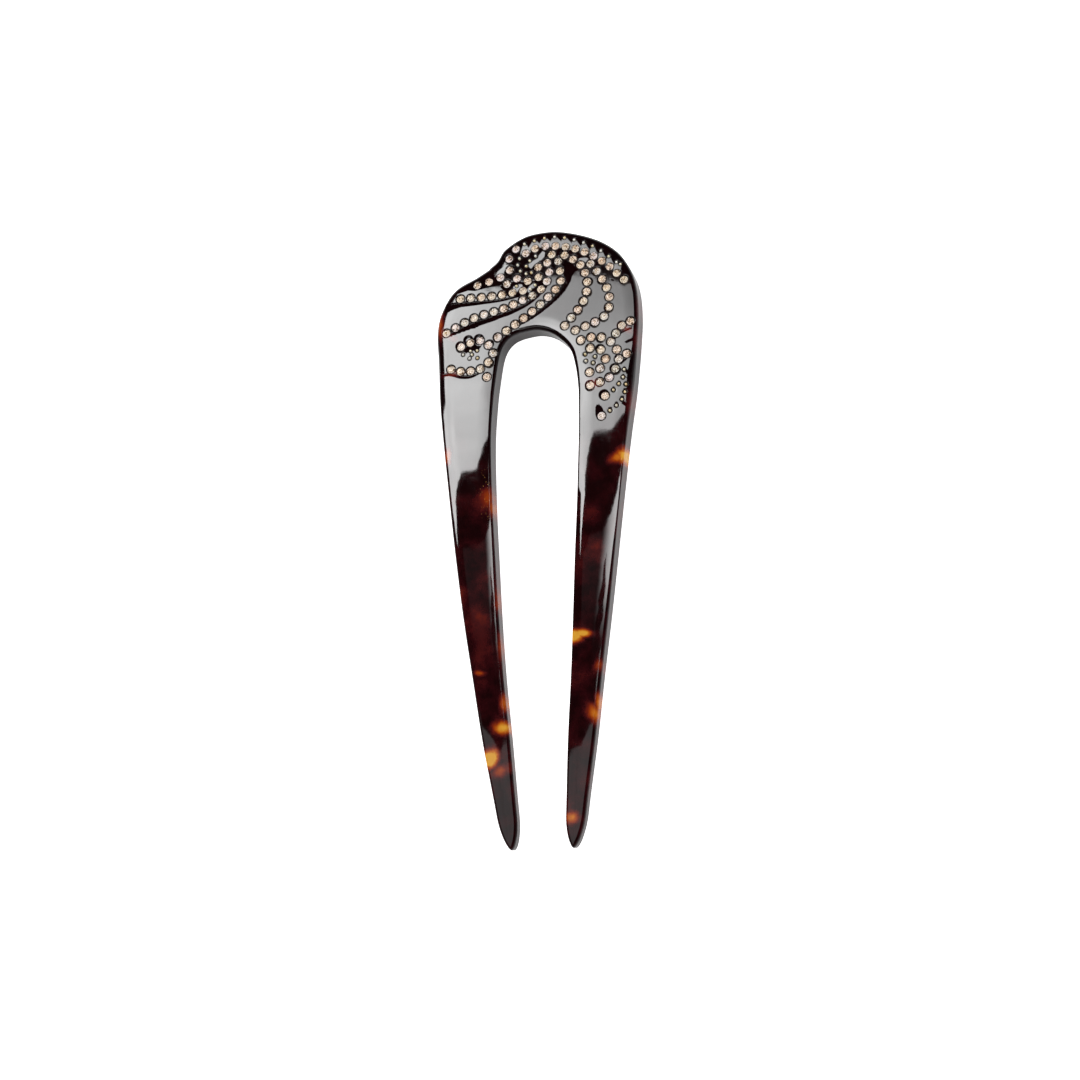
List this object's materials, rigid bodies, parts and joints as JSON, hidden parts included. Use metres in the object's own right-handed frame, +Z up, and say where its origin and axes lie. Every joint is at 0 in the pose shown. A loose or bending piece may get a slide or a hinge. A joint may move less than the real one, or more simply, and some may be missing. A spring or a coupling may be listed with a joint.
{
  "type": "french hair pin",
  "caption": "Flat two-pronged hair pin, bowed to follow the head, with a broad crown set with rows of small cut stones; pushed into a bun or twist to hold it.",
  "frame": {"origin": "centre of the bounding box in plan, at the height of the surface that the pin lies on", "axes": "+Z up through the decorated front, +Y along the pin from the prong tips to the crown, +X to the right as seen from the front with the crown up"},
  "size_m": [0.047, 0.1403, 0.0098],
  "materials": {
    "acetate": "polished dark tortoiseshell acetate with amber patches",
    "crystal": "cut pale champagne stones with foiled backs",
    "stud_metal": "polished fine metal studs"
  },
  "bodies": {
    "root": {"pin_body": "acetate", "crest_stones": "crystal", "shoulder_stones": "crystal", "wave_stones": "crystal", "hook_stones": "crystal", "inner_stones": "crystal", "sweep_stones": "crystal", "lobe_stones": "crystal", "single_stones": "crystal", "crest_studs": "stud_metal", "field_studs": "stud_metal"}
  },
  "joints": []
}
